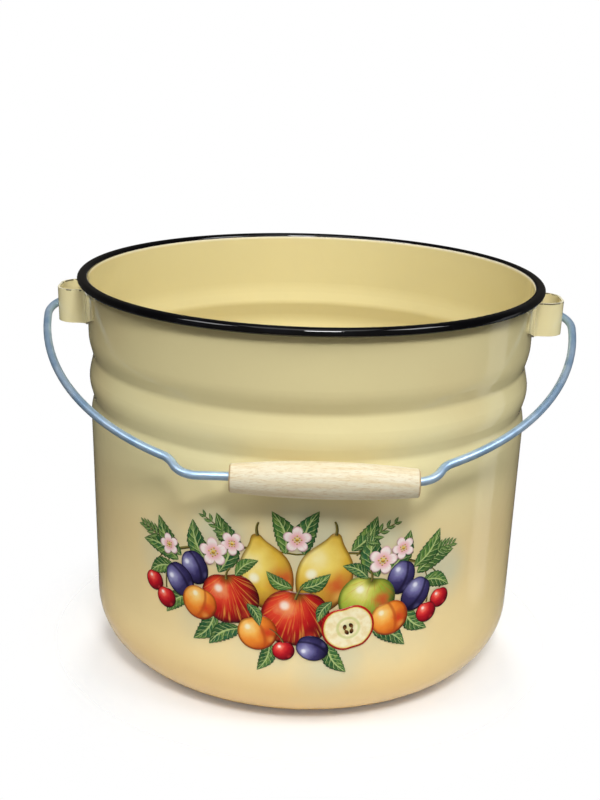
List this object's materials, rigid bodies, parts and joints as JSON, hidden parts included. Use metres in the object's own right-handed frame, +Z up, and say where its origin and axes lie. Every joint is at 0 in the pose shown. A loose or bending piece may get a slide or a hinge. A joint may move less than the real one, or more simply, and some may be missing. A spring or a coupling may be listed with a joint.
{
  "type": "enamel bucket",
  "caption": "Round enamelled steel bucket with a rolled rim, a grooved wall and a swinging wire bail with a turned wooden grip, for carrying fruit, water or feed.",
  "frame": {"origin": "centre of the foot ring, on the plane that the bucket stands on", "axes": "+Z up along the bucket's axis, X through the two ears, and the bail rests against the wall on the -Y side"},
  "size_m": [0.3258, 0.2978, 0.2406],
  "materials": {
    "cream_enamel": "gloss enamel",
    "black_enamel": "gloss enamel",
    "galvanised_wire": "galvanised",
    "turned_wood": "satin lacquer"
  },
  "bodies": {
    "bucket": {"bucket_body": "cream_enamel", "rim_bead": "black_enamel", "left_ear": "cream_enamel", "right_ear": "cream_enamel"},
    "bail": {"bail_wire": "galvanised_wire"},
    "grip": {"wooden_grip": "turned_wood"}
  },
  "joints": [
    {"name": "bail_swing", "type": "hinge", "parent": "bucket", "child": "bail", "pos_m": [0, 0, 0.218], "axis": [-1, 0, 0], "range_deg": [0, 223.7]},
    {"name": "grip_spin", "type": "hinge", "parent": "bail", "child": "grip", "pos_m": [0, -0.1453, 0.15974], "axis": [1, 0, 0], "continuous": true}
  ]
}
